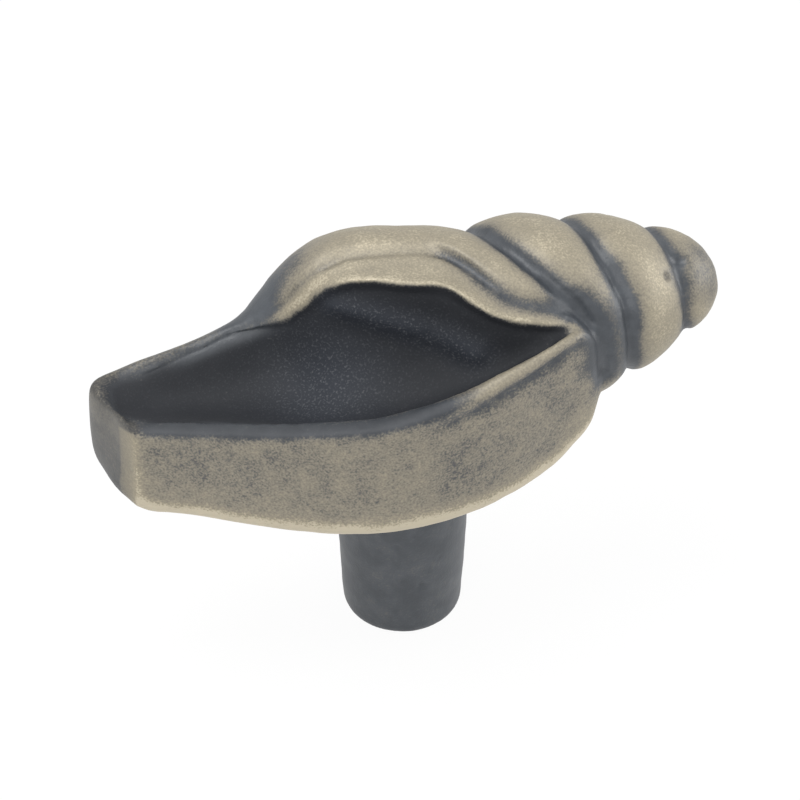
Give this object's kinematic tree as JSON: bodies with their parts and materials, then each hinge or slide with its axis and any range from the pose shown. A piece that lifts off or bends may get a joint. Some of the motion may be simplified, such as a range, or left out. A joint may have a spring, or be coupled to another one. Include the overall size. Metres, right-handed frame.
{
  "type": "cabinet knob",
  "caption": "Cast cabinet knob in the form of a whelk shell lying on its side on a round tapered stem, with a blind screw hole in the stem's end.",
  "frame": {"origin": "centre of the stem's end face, on the plane of the door or drawer front", "axes": "+Z out of the door or drawer front along the stem, +X towards the tip of the spire, -Y towards the shell's outer lip and the user who looks down on it"},
  "size_m": [0.0586, 0.0246, 0.0405],
  "materials": {
    "antique_brass": "oxidised and worn back on the high places, satin"
  },
  "bodies": {
    "root": {"shell_knob": "antique_brass"}
  },
  "joints": []
}
